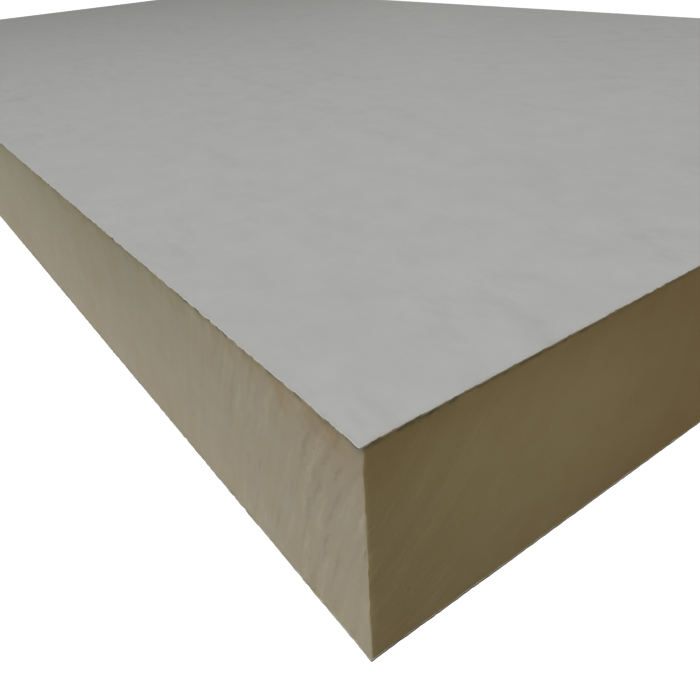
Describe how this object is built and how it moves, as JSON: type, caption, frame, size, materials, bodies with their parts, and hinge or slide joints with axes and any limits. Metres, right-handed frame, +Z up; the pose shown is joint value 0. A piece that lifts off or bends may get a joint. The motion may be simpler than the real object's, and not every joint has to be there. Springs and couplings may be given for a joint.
{
  "type": "insulation board",
  "caption": "Rigid foam insulation board, a flat rectangular slab with a thin grey fleece facer bonded to each face and square sawn edges.",
  "frame": {"origin": "centre of the underside, on the surface the board lies on", "axes": "+X along the board's length, +Y across its width, +Z up through its thickness"},
  "size_m": [1.2, 0.6, 0.08],
  "materials": {
    "foam": "sawn, matte, fine closed cells",
    "facer": "matte mineral-coated fleece"
  },
  "bodies": {
    "root": {"foam_core": "foam", "top_facer": "facer", "bottom_facer": "facer"}
  },
  "joints": []
}
